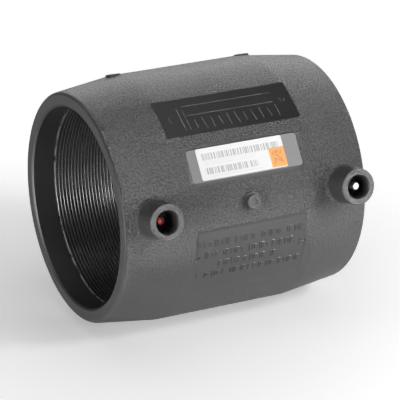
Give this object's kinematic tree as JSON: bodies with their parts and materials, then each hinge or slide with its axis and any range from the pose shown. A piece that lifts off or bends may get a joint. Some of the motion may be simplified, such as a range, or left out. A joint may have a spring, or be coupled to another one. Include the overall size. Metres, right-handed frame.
{
  "type": "electrofusion coupler",
  "caption": "Black polyethylene electrofusion coupler for 110 mm pipe, with shrouded terminals, a ridged heating winding in each socket and a printed label.",
  "frame": {"origin": "on the pipe axis in the middle of the lower end face, which the coupler stands on", "axes": "+Z along the pipe axis towards the other end, +X the way both terminals point"},
  "size_m": [0.15, 0.136, 0.1456],
  "materials": {
    "black_polyethylene": "fine moulded grain, satin",
    "coated_wire": "smooth ridges",
    "plated_metal": "bright plated",
    "red_plastic": "satin",
    "label_film": "white film with grey bars and an orange field"
  },
  "bodies": {
    "root": {"coupler_body": "black_polyethylene", "heating_winding": "coated_wire", "plain_terminal_pin": "plated_metal", "contact_pin": "plated_metal", "red_terminal_sleeve": "red_plastic", "printed_label": "label_film"}
  },
  "joints": []
}
